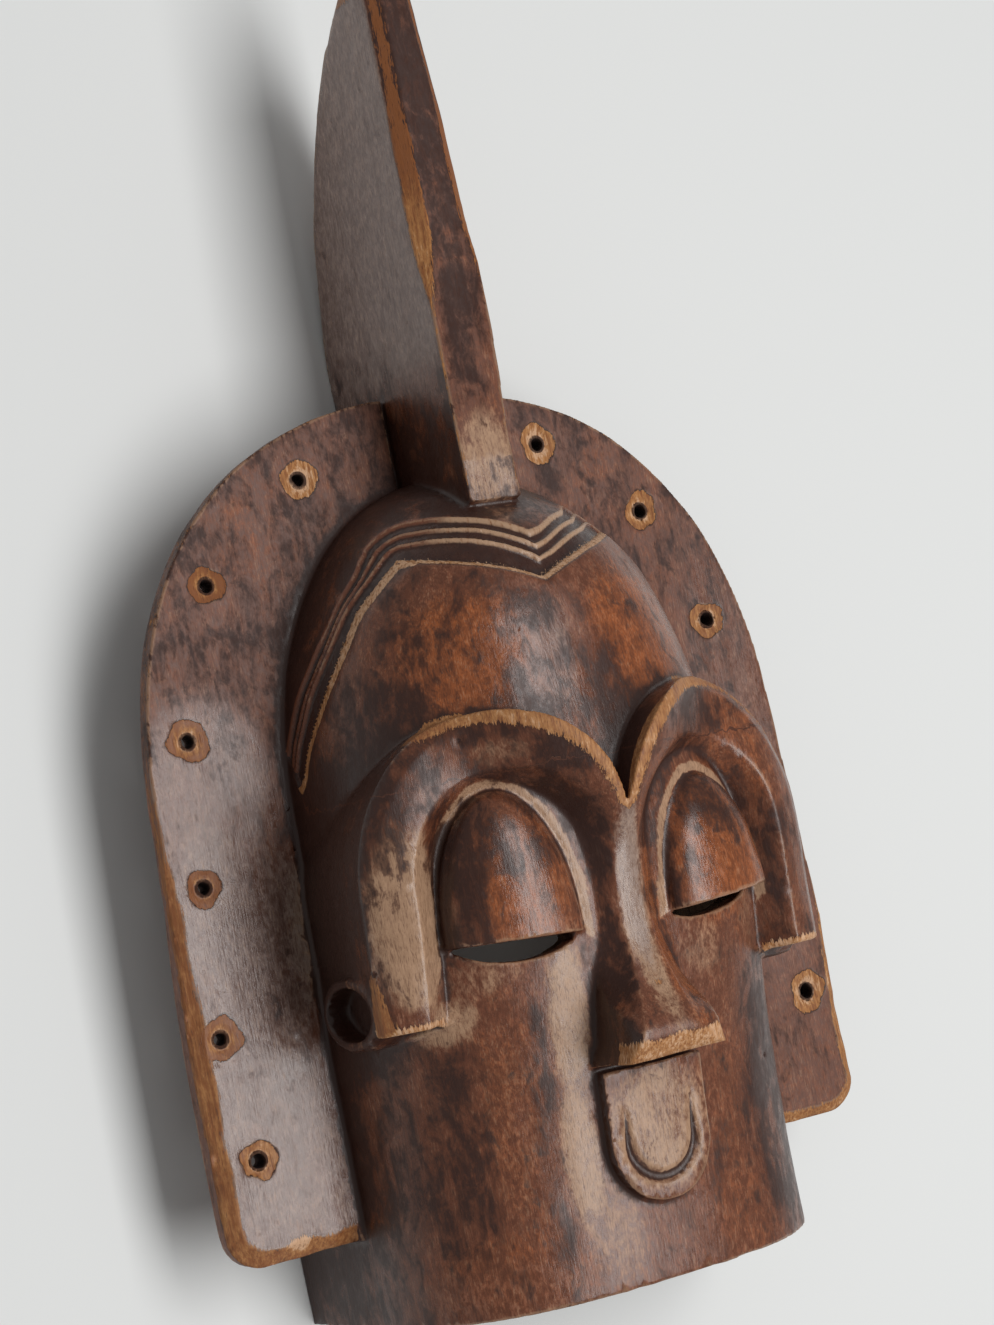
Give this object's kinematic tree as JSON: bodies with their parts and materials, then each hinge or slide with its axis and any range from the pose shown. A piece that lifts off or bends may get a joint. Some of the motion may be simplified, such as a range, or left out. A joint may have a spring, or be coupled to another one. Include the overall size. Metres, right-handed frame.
{
  "type": "carved wooden face mask with crest and collar",
  "caption": "Carved wooden face mask with a hollow back, arched brows, lidded eyes, a tall crest and a flat collar pierced for cords.",
  "frame": {"origin": "centre of the bounding box at its base, on the plane that the back rim rests on", "axes": "+Y from the chin to the tip of the crest, +Z out of the face, +X towards the viewer's right when the face is looked at upright"},
  "size_m": [0.272, 0.49, 0.1511],
  "materials": {
    "wood": "dark brown patinated wood, satin, worn to golden wood on edges and around the cord holes"
  },
  "bodies": {
    "root": {"mask": "wood"}
  },
  "joints": []
}
